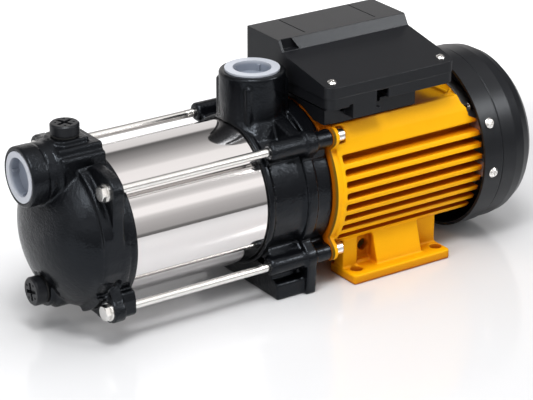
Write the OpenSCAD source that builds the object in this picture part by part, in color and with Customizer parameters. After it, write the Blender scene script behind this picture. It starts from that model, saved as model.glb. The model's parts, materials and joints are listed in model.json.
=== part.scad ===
// Horizontal multistage booster pump, close-coupled to a fan-cooled single-phase motor.
// X runs along the shaft: the suction end is at -X and the fan end at +X. The feet stand on z = 0.
// The origin is the centre of the motor foot's four holes, on the base plane.

/* [Layout along the shaft] */
// Height of the shaft above the base plane
shaft_h = 71; // [70.5:0.5:78]
// From the foot holes' centre forward to the motor's mounting flange
flange_from_foot = 62.3; // [60:0.1:68]
// Length of the bracket between the casing plate and the motor flange
adapter_len = 14; // [13:0.5:20]
// Thickness of the discharge casing's foot plate
casing_plate_t = 8.2; // [6.5:0.1:10]
// Length of the discharge casing in front of its plate
discharge_len = 31.8; // [30:0.2:38]
// Length of barrel that shows between the two casings
barrel_show = 108; // [96:1:150]
// From the suction ring's rear face forward to the suction port's face
port_reach = 58.7; // [56.5:0.1:64]
// Width of the suction casing's ring
suction_ring_t = 12; // [10:0.5:14]

/* [Barrel and tie bolts] */
// Outside diameter of the barrel
barrel_d = 105; // [103:0.5:106]
// Wall of the barrel
barrel_wall = 1.5; // [1:0.1:2.2]
// Depth of the barrel's seat in each casing
barrel_seat = 7; // [6:0.5:8]
// Thickness of each barrel gasket
barrel_gasket_t = 1.5; // [1:0.1:2]
// How far the casing rims stand out from the barrel
rim_lip = 2.7; // [2:0.1:3.5]
// Tie bolts to each side of the shaft
tie_y = 48; // [47:0.25:50]
// Tie bolts above and below the shaft
tie_z = 44; // [43.5:0.25:46]
// Tie bolt diameter
tie_d = 6; // [5:0.5:7]

/* [Ports and plugs] */
// Suction port axis above the shaft
suction_rise = 48; // [46:0.5:50]
// Outside diameter of the suction neck
suction_neck_d = 43; // [41:0.5:45]
// Discharge port's top face above the shaft
discharge_rise = 88; // [85:0.5:96]
// Outside diameter of the discharge neck
discharge_neck_d = 48; // [46:0.5:52]
// Discharge port axis in front of the casing plate
discharge_port_lead = 10.6; // [9:0.2:12]
// Core diameter of the port threads
port_core_d = 30.3; // [29:0.1:31]
// Mouth diameter of each port, where the dust cap plugs in
port_mouth_d = 34; // [33.8:0.1:35]
// Outside diameter of the discharge dust cap
discharge_cap_d = 39.8; // [38:0.2:41]
// Outside diameter of the suction dust cap
suction_cap_d = 36.2; // [35.6:0.2:38]
// Priming plug axis behind the suction port's face
priming_back = 35; // [34:0.5:37]
// Head diameter of the priming and drain plugs
plug_head_d = 20.6; // [19:0.2:22]
// Head height of the priming and drain plugs
plug_head_h = 8; // [6.5:0.1:8.5]
// Thread diameter of the priming and drain plugs
plug_thread_d = 13; // [12:0.1:13.6]
// Drain plug axis below the shaft
drain_drop = 38.6; // [37.5:0.2:40]

/* [Hydraulics] */
// Diameter of each impeller
impeller_d = 76; // [70:0.5:78]
// Diameter of each impeller's eye neck
eye_d = 33.8; // [31:0.2:36]
// Outlet width of the impeller blades
blade_w = 5; // [4:0.25:6]
// Blades in each impeller
blade_count = 6; // [5:1:7]
// Vanes in each diffuser
vane_count = 8; // [6:1:9]
// Shaft diameter through the pump
pump_shaft_d = 12; // [11:0.5:13]

/* [Motor] */
// Diameter across the fin tips
fin_d = 120.8; // [119:0.2:123]
// Diameter of the frame's tube
frame_d = 100; // [99:0.5:102]
// Diameter of the stator core
stator_d = 91.8; // [90:0.2:92]
// Length of the stator and rotor cores
core_len = 66; // [56:1:70]
// Centre of the cores behind the foot holes' centre
core_offset = 3; // [1:0.5:5]
// Diameter of the rotor core
rotor_d = 55; // [50:0.5:58]
// Fan end of the frame behind the foot holes' centre
frame_rear = 70.3; // [69:0.1:73]
// Distance between fins
fin_pitch = 8.7; // [8.5:0.05:8.9]
// Thickness of a fin at its tip
fin_t = 3.6; // [3:0.1:4.2]
// Height of the top fin's centre above the shaft
fin_top = 21.6; // [21:0.1:22.4]
// Width of the terminal deck
deck_w = 90; // [88:0.5:93]
// Height of the terminal deck above the shaft
deck_rise = 51; // [50.5:0.1:53]
// Width of the motor flange's ears
ear_d = 15.2; // [14:0.2:17]

/* [Motor feet] */
// Distance between foot holes along the shaft
foot_pitch_x = 73; // [71:0.5:76]
// Distance between foot holes across the shaft
foot_pitch_y = 98.4; // [97:0.2:101]
// Diameter of the foot holes
foot_hole_d = 9; // [7:0.5:10]
// Length of the foot plates
foot_len = 88.3; // [87:0.5:92]
// Width over the foot plates
foot_w = 121; // [119:0.5:126]
// Thickness of the foot plates
foot_t = 7; // [5.5:0.25:9]

/* [Terminal box] */
// Length of the terminal box along the shaft
box_len = 113.5; // [110:0.5:118]
// From the foot holes' centre forward to the box's front end
box_lead = 68.5; // [66:0.1:70]
// Near side of the box from the shaft
box_near = 56; // [54:0.5:58]
// Far side of the box from the shaft
box_far = 50.5; // [49:0.5:53]
// Bottom of the box above the deck
box_lift = 16; // [14:0.5:18]
// Top of the lid's near edge above the deck
lid_rise = 32.25; // [31:0.25:35]
// Rise of the lid from its near edge to the capacitor hood
lid_slope = 11; // [8:0.5:13]
// Height of the capacitor hood above the lid
hood_h = 8; // [6:0.25:10]
// Wall of the box and the lid
box_wall = 2.5; // [2:0.1:3]

/* [Fan cover] */
// Diameter of the fan cover's front band
cover_d = 136; // [134.5:0.5:138]
// Front edge of the fan cover ahead of the frame's fan end
cover_lap = 3.8; // [2.5:0.1:4.5]
// Length of the front band
band_len = 17; // [15:0.5:18]
// Length of the fan cover
cover_len = 57.5; // [54:0.5:62]
// Wall of the fan cover
cover_wall = 2.2; // [1.8:0.1:2.6]
// Diameter of the cooling fan
fan_d = 104; // [96:1:110]

/* [Clearances] */
// Radial clearance of a pressed or threaded seat
seat_gap = 0.05; // [0.03:0.01:0.08]
// Radial clearance between a casing and what drops into it
drop_gap = 0.15; // [0.1:0.05:0.25]
// Radial clearance of parts that turn close to fixed ones
spin_gap = 0.35; // [0.25:0.05:0.5]

/* [Hidden] */
STAGES = 4;
$fn = 64;
HULL_FN = 28;
eps = 0.01;

cast_black = "#26262a";
steel = "#c9c9cc";
bright = "#e2e2e4";
yellow = "#f2a90f";
plastic_black = "#2b2b2e";
cap_white = "#dfe6ee";
rubber = "#1c1c1c";

// Places along the shaft
x_flange = -flange_from_foot;
x_plate1 = x_flange - adapter_len;
x_plate0 = x_plate1 - casing_plate_t;
x_rim = x_plate0 - discharge_len;
x_ring = x_rim - barrel_show;
x_ring0 = x_ring - suction_ring_t;
x_port = x_ring - port_reach;
x_stack0 = x_ring - barrel_seat;
x_stack1 = x_rim + barrel_seat;
stage_len = (x_stack1 - x_stack0) / STAGES;
x_dport = x_plate0 - discharge_port_lead;

barrel_r = barrel_d / 2;
barrel_ir = barrel_r - barrel_wall;
rim_r = barrel_r + rim_lip;
seat_r = barrel_r + drop_gap;
shoulder_r = barrel_ir - 4;
tie_r = norm([tie_y, tie_z]);
tie_places = [[-tie_y, -tie_z], [-tie_y, tie_z], [tie_y, -tie_z], [tie_y, tie_z]];

// Suction casing
casing_wall = 5;
dome_x = x_ring0 - 3.7;
dome_r = rim_r - 0.6;
dome_depth = port_reach - suction_ring_t - 3.7 - 7;
dome_power = 2.25;
neck_r = suction_neck_d / 2;
lug_r = 10;
lug_face = x_ring0 - 8;
land_rise = 6.5;
crest_r = 57;
washer_t = 1.6;
bolt_head_h = 4;
priming_x = x_port + priming_back;
plug_seal_t = 1.2;
plug_thread_len = 9;
pad_top = suction_rise + 23;
drain_face = x_port + 4 + plug_head_h + plug_seal_t;

// Ports
mouth_depth = 9;
thread_len = 14;
port_bore_r = port_core_d / 2 - 0.9;
cap_flange_t = 1.6;
cap_stub_len = 8;
cap_floor = 2;

// Stage stack
bowl_r = barrel_ir - 0.3;
bowl_wall = 2.2;
bowl_face_t = 2.5;
impeller_r = impeller_d / 2;
eye_r = eye_d / 2;
shroud_t = 1.5;
impeller_in = bowl_face_t + 1.5;
blade_in = impeller_in + shroud_t;
back_in = blade_in + blade_w;
back_t = 2;
hub_end = back_in + back_t + 1;
hub_r = 9;
web_in = hub_end + 0.8;
web_t = 2.5;
web_r = bowl_r - bowl_wall - 4;
pump_shaft_r = pump_shaft_d / 2;
key_w = 4;
key_rise = 1.5;

// Shaft seal and bearings
x_wall = x_plate0 - 5.5;
seat_ring_r = 12.9;
seat_ring_t = 6;
seal_face_t = 6;
seal_spring_len = 12;
bearing_bore_r = 7.5;
bearing_r = 17.5;
bearing_w = 11;
ball_r = 2.9;
ball_pitch_r = 12.5;
ball_count = 8;
front_bearing_x = x_flange - 5.7;
rear_bearing_x = frame_rear - 4.3;

// Motor
frame_r = frame_d / 2;
bracket_r = frame_r + 5;
fin_r = fin_d / 2;
fin_count = 8;
stator_r = stator_d / 2;
bore_r = stator_r + 0.1;
core_x0 = core_offset - core_len / 2;
core_x1 = core_offset + core_len / 2;
rotor_r = rotor_d / 2;
winding_len = 16;
flange_t = 5.3;
land_t = 3.7;
x_land = x_flange + flange_t;
x_fins = x_land + land_t;
flange_r = fin_r - 1.6;
spigot_len = 6;
spigot_r = bore_r - 0.15;
screw_head_r = 4.9;
screw_head_h = 6;
shield_t = 8;
x_shield1 = frame_rear + shield_t;
foot_x0 = -foot_pitch_x / 2 - 9.7;
foot_x1 = foot_x0 + foot_len;
foot_hole_r = foot_hole_d / 2;
leg_y = 42;
leg_t = 9;
deck_z = shaft_h + deck_rise;

// Fan and fan cover
cover_r = cover_d / 2;
x_cover0 = frame_rear - cover_lap;
x_cover1 = x_cover0 + cover_len;
body_step = 0.8;
shoulder_turn = 27;
cover_screw_x = frame_rear + shield_t / 2;
cover_screw_angles = [26, -6, 154, 186];
cover_screw_len = 12;
fan_x0 = x_shield1 + 6;
fan_blade_len = x_cover1 - cover_wall - 9 - fan_x0;
fan_hub_r = 12;
fan_disc_t = 2;
fan_disc_short = 8;
fan_shaft_r = 6;
x_shaft_end = fan_x0 + fan_blade_len + 1;

// Terminal box
box_x0 = -box_lead;
box_x1 = box_x0 + box_len;
gasket_t = 1.5;
base_z0 = deck_z + gasket_t;
box_z0 = deck_z + box_lift;
seam_z = box_z0 + 8;
lid_z = deck_z + lid_rise;
hood_y = 1.5;
hood_z = lid_z + lid_slope;
hood_run = 5;
hood_crown = 0.2;
box_turn = 6;
cap_body_r = 15;
cap_body_len = 75;
tab_t = 0.8;
tab_w = 6;
tab_gap = 10;
tab_len = 9;
gland_x = box_x1 - 18;
gland_z = box_z0 - 0.6;
gland_r = 7.9;
lid_screw_inset = 8.5;
lid_screw_edge = 7.5;

// Local z runs along the shaft from x
module on_shaft(x) {
    translate([x, 0, shaft_h]) rotate([0, 90, 0]) children();
}

// Solid of revolution about the shaft, its outline given as [radius, x]
module revolve_x(outline) {
    on_shaft(0) rotate_extrude() polygon(outline);
}

// Rod along the shaft direction, at y and at a height h above the shaft
module rod_x(x0, x1, r, y = 0, h = 0) {
    translate([x0, y, shaft_h + h]) rotate([0, 90, 0]) cylinder(h = x1 - x0, r = r);
}

// Ring along the shaft direction
module ring_x(x0, x1, ro, ri, y = 0, h = 0) {
    difference() {
        rod_x(x0, x1, ro, y, h);
        rod_x(x0 - 1, x1 + 1, ri, y, h);
    }
}

// Extrusion along the shaft of an outline in y and height above the shaft
module yz(x0, x1) {
    translate([x0, 0, shaft_h]) rotate([90, 0, 90]) linear_extrude(x1 - x0) children();
}

// Box given by its lowest and highest corners
module block(lo, hi) {
    translate(lo) cube(hi - lo);
}

// Rectangle with round corners, as exact arcs
module round_rect(w, h, r) {
    square([w - 2 * r, h], center = true);
    square([w, h - 2 * r], center = true);
    for (x = [-1, 1], y = [-1, 1])
        translate([x * (w / 2 - r), y * (h / 2 - r)]) circle(r);
}

// Strip in the y, z plane from the shaft's centre out to each tie bolt
module tie_webs(width, inner = 30) {
    for (p = tie_places)
        rotate(atan2(p[1], p[0])) translate([inner, -width / 2]) square([tie_r - inner, width]);
}

// Dome outline as a superellipse, from its rim to its pole, as [radius, x]
function dome_curve(radius, depth, steps = 11) = [
    for (i = [0 : steps])
        let (t = 90 * i / steps)
        [radius * pow(cos(t), 2 / dome_power), dome_x - depth * pow(sin(t), 2 / dome_power)]
];

// Suction casing
// Crescent land that runs from a bolt lug along the dome's edge; the upper ones reach the saddle
module land_outline(upper) {
    difference() {
        if (upper)
            polygon([[14, 46], [27, 56.5], [40, 56], [51, 54], [57.5, 48], [57.5, 38], [55.8, 27],
                     [55.6, 12], [55, -4], [53.4, -14], [50, -22], [46, -14], [36, 20], [20, 34]]);
        else
            polygon([[12, 46], [21, 53.5], [34, 54.5], [47, 53.5], [54, 49], [56, 43], [53, 37],
                     [44, 34], [30, 36]]);
        translate([2, -3]) circle(49);
    }
}

module lug(p) {
    upper = p[1] > 0;
    r = upper ? lug_r : lug_r - 1.5;
    rod_x(lug_face, x_ring0 + 0.5, r, p[0], p[1]);
    hull() {
        rod_x(lug_face + 0.5, x_ring0 + 0.5, r - 1.5, p[0], p[1], $fn = HULL_FN);
        rod_x(lug_face + 2, x_ring0 + 0.5, 12, p[0] * 0.8, p[1] * 0.8, $fn = HULL_FN);
    }
    mirror([0, p[0] < 0 ? 1 : 0, 0]) {
        yz(lug_face + 0.2, x_ring0 + 0.5) mirror([0, upper ? 0 : 1]) land_outline(upper);
        yz(lug_face - land_rise, lug_face + 1) mirror([0, upper ? 0 : 1]) intersection() {
            land_outline(upper);
            circle(crest_r);
        }
    }
}

// Lower corners of the ring, squared off round the tie bolts
module ring_corners() {
    for (s = [-1, 1]) yz(x_ring0, x_ring - 1) polygon([
        [s * 30, -30], [s * 50, -32], [s * 52, -38], [s * 52, -48], [s * 50, -50.5], [s * 40, -50.5],
            [s * 20, -50]
    ]);
}

module suction_shell() {
    ring_groove = x_ring - 4.5;
    revolve_x(concat(
        dome_curve(dome_r, dome_depth),
        [[0, x_ring], [rim_r - 0.8, x_ring], [rim_r, x_ring - 0.8],
         [rim_r, ring_groove], [rim_r - 1, ring_groove - 1], [rim_r, ring_groove - 2],
         [rim_r, x_ring0 + 0.8], [rim_r - 0.8, x_ring0], [rim_r - 2.6, x_ring0 - 1],
             [rim_r - 2.6, dome_x + 0.6]]
    ));
    for (p = tie_places) lug(p);
    ring_corners();
}

// Stepped saddle that carries the neck and the priming pad
module suction_saddle() {
    top = suction_rise + 14;
    half = neck_r;
    x0 = priming_x - 14;
    yz(x0, x_ring - 4) polygon([
        [-half, suction_rise - 22], [-half, top - 1.5], [-half + 1.5, top], [-half + 4, top],
        [-half + 4.5, top + 4.5], [-half + 6, top + 5.5], [half - 6, top + 5.5], [half - 4.5, top + 4.5],
        [half - 4, top], [half - 1.5, top], [half, top - 1.5], [half, suction_rise - 22]
    ]);
    pad = 25;
    cut = 5;
    translate([priming_x, 0, shaft_h + top]) linear_extrude(pad_top - top) polygon([
        [-pad / 2, -pad / 2 + cut], [-pad / 2 + cut, -pad / 2], [pad / 2 - 2, -pad / 2],
            [pad / 2, -pad / 2 + 2],
        [pad / 2, pad / 2 - 2], [pad / 2 - 2, pad / 2], [-pad / 2 + cut, pad / 2], [-pad / 2, pad / 2 - cut]
    ]);
}

module suction_neck() {
    collar = x_port + 20;
    band = x_port + 11;
    r = neck_r;
    translate([x_port, 0, shaft_h + suction_rise]) rotate([0, 90, 0]) rotate_extrude() polygon([
        [0, -cap_flange_t], [r - 0.8, -cap_flange_t], [r, 0.8 - cap_flange_t], [r, band - x_port],
            [r - 0.9, band - x_port + 0.5],
        [r - 0.9, band - x_port + 1.5], [r - 0.2, band - x_port + 2], [r - 0.2, collar - x_port - 1],
        [r + 0.7, collar - x_port], [r + 0.7, collar - x_port + 2], [r - 0.6, collar - x_port + 3],
        [r - 0.6, x_ring0 - x_port], [0, x_ring0 - x_port]
    ]);
}

module drain_boss() {
    rod_x(drain_face, x_ring0, 12.5, 0, -drain_drop);
    rod_x(drain_face + 6, x_ring0, 15, 0, -drain_drop);
}

module suction_casing() color(cast_black) difference() {
    union() {
        suction_shell();
        suction_neck();
        suction_saddle();
        drain_boss();
    }
    difference() {
        revolve_x(concat(
            dome_curve(dome_r - casing_wall, dome_depth - casing_wall),
            [[0, x_stack0 + eps], [shoulder_r, x_stack0 + eps], [shoulder_r, dome_x + 1]]
        ));
        rod_x(x_port, x_port + mouth_depth + thread_len + 1, neck_r - 2, 0, suction_rise);
        rod_x(drain_face, drain_face + plug_thread_len + 2, 10, 0, -drain_drop);
    }
    rod_x(x_stack0, x_ring + 1, seat_r);
    rod_x(x_port - cap_flange_t - 1, x_port, suction_cap_d / 2 + drop_gap, 0, suction_rise);
    rod_x(x_port - 1, x_port + mouth_depth, port_mouth_d / 2, 0, suction_rise);
    rod_x(x_port, x_port + mouth_depth + thread_len, port_core_d / 2, 0, suction_rise);
    rod_x(x_port, x_ring0 - 2, port_bore_r, 0, suction_rise);
    translate([priming_x, 0, shaft_h + suction_rise + 5])
        cylinder(h = 30, r = plug_thread_d / 2 + seat_gap);
    rod_x(drain_face - 12, drain_face, plug_head_d / 2 + 2.4, 0, -drain_drop);
    rod_x(drain_face - 12, x_ring0 - 8, plug_thread_d / 2 + seat_gap, 0, -drain_drop);
    for (p = tie_places) {
        rod_x(lug_face - 20, lug_face, 8.2, p[0], p[1]);
        rod_x(lug_face - 1, x_ring + 1, tie_d / 2 + 0.3, p[0], p[1]);
    }
}

// Dust cap with a flange and a hollow stub, its flange underside on z = 0
module port_cap(flange_d) {
    rib = 1.6;
    hollow_r = port_mouth_d / 2 - 3.2;
    difference() {
        union() {
            cylinder(h = cap_flange_t, r = flange_d / 2);
            translate([0, 0, -cap_stub_len]) cylinder(h = cap_stub_len, r = port_mouth_d / 2 - drop_gap);
        }
        translate([0, 0, -cap_stub_len + cap_floor]) cylinder(h = cap_stub_len + 2, r = hollow_r);
    }
    for (a = [0 : 90 : 270])
        rotate(a) translate([hollow_r - 1.6, -rib / 2, -cap_stub_len + cap_floor - eps])
            cube([2.2, rib, cap_stub_len - 3]);
}

module suction_port_cap() color(cap_white)
    translate([x_port, 0, shaft_h + suction_rise]) rotate([0, -90, 0]) port_cap(suction_cap_d);

module discharge_port_cap() color(cap_white)
    translate([x_dport, 0, shaft_h + discharge_rise]) rotate(35) port_cap(discharge_cap_d);

// Plug with a cross recess and four dimples, its head's underside on z = 0
module plug() {
    r = plug_head_d / 2;
    arm = 13;
    slot = 2.6;
    deep = 2.4;
    difference() {
        union() {
            rotate_extrude() polygon([
                [0, 0], [r - 0.6, 0], [r, 0.6], [r, plug_head_h - 1], [r - 1, plug_head_h], [0, plug_head_h]
            ]);
            translate([0, 0, -plug_thread_len]) cylinder(h = plug_thread_len + 1, r = plug_thread_d / 2);
        }
        for (a = [0, 90]) rotate(a) translate([0, 0, plug_head_h - deep / 2 + 1])
            cube([arm, slot, deep + 2], center = true);
        for (a = [45 : 90 : 315]) rotate(a) translate([6.4, 0, plug_head_h - 0.8]) cylinder(h = 2, r = 0.9);
    }
}

module plug_seal() {
    difference() {
        cylinder(h = plug_seal_t, r = plug_head_d / 2 - 0.8);
        translate([0, 0, -1]) cylinder(h = plug_seal_t + 2, r = plug_thread_d / 2 + seat_gap);
    }
}

module at_priming() { translate([priming_x, 0, shaft_h + pad_top]) children(); }

module at_drain() { translate([drain_face, 0, shaft_h - drain_drop]) rotate([0, -90, 0]) children(); }

module priming_plug() color(plastic_black) at_priming() translate([0, 0, plug_seal_t]) rotate(20) plug();

module priming_plug_seal() color(rubber) at_priming() plug_seal();

module drain_plug() color(plastic_black) at_drain() translate([0, 0, plug_seal_t]) rotate(15) plug();

module drain_plug_seal() color(rubber) at_drain() plug_seal();

// Barrel, gaskets and tie bolts
module pump_barrel() color(bright)
    ring_x(x_stack0 + barrel_gasket_t, x_stack1 - barrel_gasket_t, barrel_r, barrel_ir);

module barrel_gasket(x) color(rubber)
    ring_x(x, x + barrel_gasket_t, barrel_r - 0.1, barrel_ir + 0.1);

module barrel_gasket_front() { barrel_gasket(x_stack0); }

module barrel_gasket_rear() { barrel_gasket(x_stack1 - barrel_gasket_t); }

module hex_head(across, h) { cylinder(h = h, r = across / 2 / cos(30), $fn = 6); }

module tie_bolts() color(bright) {
    head_x = lug_face - washer_t - bolt_head_h;
    for (p = tie_places) {
        translate([head_x, p[0], shaft_h + p[1]]) rotate([0, 90, 0]) rotate(30) intersection() {
            hex_head(10, bolt_head_h);
            rotate_extrude() polygon([[0, 0], [4.8, 0], [6.4, 1], [6.4, bolt_head_h], [0, bolt_head_h]]);
        }
        rod_x(head_x + bolt_head_h - 0.5, x_rim + 20, tie_d / 2, p[0], p[1]);
    }
}

module tie_bolt_washers() color(steel)
    for (p = tie_places) ring_x(lug_face - washer_t, lug_face, 6.6, tie_d / 2 + 0.3, p[0], p[1]);

// Discharge casing, one casting with the motor bracket
module discharge_plate_outline() {
    circle(rim_r + 1.8);
    for (p = tie_places) translate(p) circle(9);
    tie_webs(18);
    polygon([[-54, -shaft_h], [-56.5, -tie_z], [56.5, -tie_z], [54, -shaft_h]]);
}

module discharge_foot() {
    side = tie_y + 2.5;
    wall = tie_y - 4;
    toe = -shaft_h + 13;
    difference() {
        yz(x_rim + 8.8, x_plate0 + 1) polygon([
            [-side, -shaft_h], [-side, toe - 2], [-side + 1.5, toe - 0.5], [-side + 3, toe],
                [-wall, toe + 1],
            [-wall, -tie_z - 5], [-20, -tie_z - 4], [20, -tie_z - 4], [wall, -tie_z - 5], [wall, toe + 1],
            [side - 3, toe], [side - 1.5, toe - 0.5], [side, toe - 2], [side, -shaft_h]
        ]);
        for (s = [-1, 1]) mirror([0, s < 0 ? 1 : 0, 0])
            block([x_rim + 13, 4, -1], [x_plate0 - 4, side - 7, 9]);
    }
}

module port_ribs() {
    for (a = [50 : 90 : 320])
        translate([x_dport, 0, 0]) rotate(a) translate([discharge_neck_d / 2 - 0.6, 0, shaft_h + 50]) {
            cylinder(h = discharge_rise - 57, r = 2.6);
            translate([0, 0, discharge_rise - 57]) cylinder(h = 1.6, r1 = 2.6, r2 = 1);
        }
}

module discharge_neck() {
    r = discharge_neck_d / 2;
    translate([x_dport, 0, shaft_h + 40]) rotate_extrude() polygon([
        [0, 0], [r, 0], [r, discharge_rise - 41], [r - 1, discharge_rise - 40], [0, discharge_rise - 40]
    ]);
    port_ribs();
    hull() {
        translate([x_dport, 0, shaft_h + 55]) cylinder(h = 1.5, r = r, $fn = HULL_FN);
        block([x_rim + 3, -31, shaft_h + 40], [x_plate0 + 6, 31, shaft_h + 41]);
    }
    for (s = [-1, 1])
        yz(x_plate0 - 9, x_plate0 + 1)
            polygon([[s * 16, 58], [s * 22, 57], [s * (tie_y - 3), tie_z + 7], [s * tie_y, tie_z],
                [s * 16, 40]]);
}

// Boss that takes a tie bolt's thread, with a turned nose
module tie_boss(p) {
    r = 6.9;
    nose = 1.5;
    translate([x_rim + 2.3, p[0], shaft_h + p[1]]) rotate([0, 90, 0]) {
        cylinder(h = nose, r1 = r - nose, r2 = r);
        translate([0, 0, nose]) cylinder(h = x_plate0 - x_rim - 2.3, r = r);
    }
}

module discharge_body() {
    groove = x_rim + 5.5;
    revolve_x([
        [0, x_rim], [rim_r - 0.8, x_rim], [rim_r, x_rim + 0.8], [rim_r, x_rim + 4.4], [rim_r - 2, groove],
        [rim_r - 2, x_plate0 - 3], [rim_r, x_plate0 + 1], [0, x_plate0 + 1]
    ]);
    for (p = tie_places) tie_boss(p);
    yz(x_rim + 5, x_plate0 + 1) tie_webs(10);
    discharge_foot();
}

module motor_bracket() {
    hub_r = bearing_r + 5.5;
    yz(x_plate0, x_plate1) discharge_plate_outline();
    rod_x(x_plate1 - 1, x_flange, bracket_r);
    yz(x_plate1 - 1, min(x_flange - 1, ped_x0 - 0.6)) intersection() {
        circle(fin_r);
        translate([-tie_y, 30]) square([2 * tie_y, fin_r]);
    }
    ring_x(x_flange - 1, x_flange + spigot_len, spigot_r, spigot_r - 4);
    for (p = tie_places) rod_x(x_plate1 - 1, x_flange, ear_d / 2 - 0.9, p[0], p[1]);
    yz(x_plate1 - 1, x_flange) tie_webs(6);
    rod_x(x_plate1, front_bearing_x + bearing_w, hub_r);
}

module discharge_casing() color(cast_black) difference() {
    union() {
        discharge_body();
        discharge_neck();
        motor_bracket();
    }
    rod_x(x_rim - 12, x_stack1, seat_r);
    rod_x(x_stack1 - 1, x_wall, shoulder_r);
    rod_x(x_wall - 1, x_wall + seat_ring_t, seat_ring_r + drop_gap);
    rod_x(x_wall, front_bearing_x + 1, 9.6);
    rod_x(front_bearing_x, front_bearing_x + bearing_w + 1, bearing_r + seat_gap);
    difference() {
        rod_x(x_plate1 + 3, x_flange + 1, frame_r - 6);
        rod_x(x_plate1, x_flange + 2, bearing_r + 5.5);
    }
    translate([x_dport, 0, shaft_h + discharge_rise - mouth_depth])
        cylinder(h = mouth_depth + 1, r = port_mouth_d / 2);
    translate([x_dport, 0, shaft_h + discharge_rise - mouth_depth - thread_len])
        cylinder(h = mouth_depth + thread_len, r = port_core_d / 2);
    translate([x_dport, 0, shaft_h + shoulder_r - 8])
        cylinder(h = discharge_rise - shoulder_r, r = port_bore_r);
    for (p = tie_places) {
        rod_x(x_rim, x_rim + 22, tie_d / 2 + seat_gap, p[0], p[1]);
        rod_x(x_plate1 - 6, x_flange + 1, tie_d / 2 + seat_gap, p[0], p[1]);
    }
}

// Hydraulic stages
function stage_x(i) = x_stack0 + (i - 1) * stage_len;

module stage_bowl(i) color(steel) difference() {
    rod_x(stage_x(i), stage_x(i) + stage_len, bowl_r);
    rod_x(stage_x(i) + bowl_face_t, stage_x(i) + stage_len + 1, bowl_r - bowl_wall);
    rod_x(stage_x(i) - 1, stage_x(i) + bowl_face_t + 1, eye_r + spin_gap);
}

// Curved vane between two radii: a slice of a bent plate, turned back by a sweep angle
module bent_vane(r0, r1, sweep, thick, steps = 6) {
    curve = [for (i = [0 : steps])
        let (r = r0 + (r1 - r0) * i / steps, a = sweep * pow(i / steps, 0.85)) [r, a]];
    function side(s) = [for (c = curve) c[0] * [cos(c[1]), sin(c[1])]
        + s * thick / 2 * [cos(c[1] + 90), sin(c[1] + 90)]];
    polygon(concat(side(1), [for (i = [steps : -1 : 0]) side(-1)[i]]));
}

module vane_ring(x, w, count, r0, r1, sweep, thick) {
    on_shaft(x) linear_extrude(w) for (k = [0 : count - 1]) rotate(k * 360 / count)
        bent_vane(r0, r1, sweep, thick);
}

module diffuser(i) color("#b9bdc4") {
    x = stage_x(i);
    rim = bowl_r - bowl_wall - 0.2;
    ring_x(x + web_in, x + web_in + web_t, web_r, hub_r + 2);
    vane_ring(x + impeller_in, web_in - impeller_in + 0.5, vane_count, impeller_r + 1.4, web_r + 0.5, 28,
        1.6);
    vane_ring(x + web_in, web_t, vane_count, web_r - 2, rim, 6, 3);
    vane_ring(x + web_in + web_t - 0.5, stage_len - web_in - web_t + 0.45, vane_count, eye_r + 2,
        web_r - 1, -50, 1.6);
}

module key_slot(x0, x1) {
    block([x0, -key_w / 2 - 0.05, shaft_h], [x1, key_w / 2 + 0.05,
        shaft_h + pump_shaft_r + key_rise + 0.1]);
}

module impeller(i) color("#d8d2c4") {
    x = stage_x(i);
    difference() {
        union() {
            revolve_x([
                [eye_r - 1.8, x + 0.3], [eye_r, x + 0.3], [eye_r, x + impeller_in - 0.5],
                [eye_r + 3, x + impeller_in], [impeller_r, x + impeller_in + 0.3],
                [impeller_r, x + blade_in], [eye_r, x + blade_in], [eye_r - 1.8, x + blade_in - 0.6]
            ]);
            rod_x(x + back_in, x + back_in + back_t, impeller_r);
            rod_x(x + impeller_in, x + hub_end, hub_r);
        }
        rod_x(x, x + stage_len, pump_shaft_r + seat_gap);
        key_slot(x, x + stage_len);
    }
    vane_ring(x + blade_in - 0.3, blade_w + 0.6, blade_count, eye_r - 1, impeller_r - 0.5, -62, 1.5);
}

module impeller_spacers() color(steel) difference() {
    for (i = [1 : STAGES - 1])
        rod_x(stage_x(i) + hub_end, stage_x(i + 1) + impeller_in, hub_r);
    key_slot(x_stack0, x_stack1);
    rod_x(x_stack0, x_stack1, pump_shaft_r + seat_gap);
}

module impeller_nut() color(bright) difference() {
    union() {
        rod_x(x_stack0 + impeller_in - 1.5, x_stack0 + impeller_in, hub_r);
        translate([x_stack0 + impeller_in - 10, 0, shaft_h]) rotate([0, 90, 0]) hex_head(16, 8.6);
    }
    rod_x(x_stack0 - 12, x_stack0 + impeller_in + 1, pump_shaft_r - 1 + seat_gap);
}

x_sleeve_end = x_wall - seal_face_t - seal_spring_len;

module shaft() color(steel) {
    r = pump_shaft_r;
    difference() {
        revolve_x([
            [0, x_stack0 + impeller_in - 13], [r - 2, x_stack0 + impeller_in - 13],
                [r - 1, x_stack0 + impeller_in - 12],
            [r - 1, x_stack0 + impeller_in], [r, x_stack0 + impeller_in], [r, x_wall + seat_ring_t + 4],
            [bearing_bore_r, x_wall + seat_ring_t + 5], [bearing_bore_r, front_bearing_x + bearing_w],
            [bearing_bore_r + 2, front_bearing_x + bearing_w], [bearing_bore_r + 2, core_x0 - 8],
            [bearing_bore_r + 3, core_x0 - 8], [bearing_bore_r + 3, core_x1 + 8],
            [bearing_bore_r + 2, core_x1 + 8], [bearing_bore_r + 2, rear_bearing_x],
            [bearing_bore_r, rear_bearing_x], [bearing_bore_r, fan_x0 - 1], [fan_shaft_r, fan_x0 - 1],
            [fan_shaft_r, x_shaft_end - 1], [fan_shaft_r - 1, x_shaft_end], [0, x_shaft_end]
        ]);
        block([x_stack0 + impeller_in + 1, -key_w / 2, shaft_h + r - 2.5],
            [x_sleeve_end - 1, key_w / 2, shaft_h + r + 1]);
        block([fan_x0, -7, shaft_h + fan_shaft_r - 1.5], [x_shaft_end + 1, 7, shaft_h + 9]);
    }
}

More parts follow.
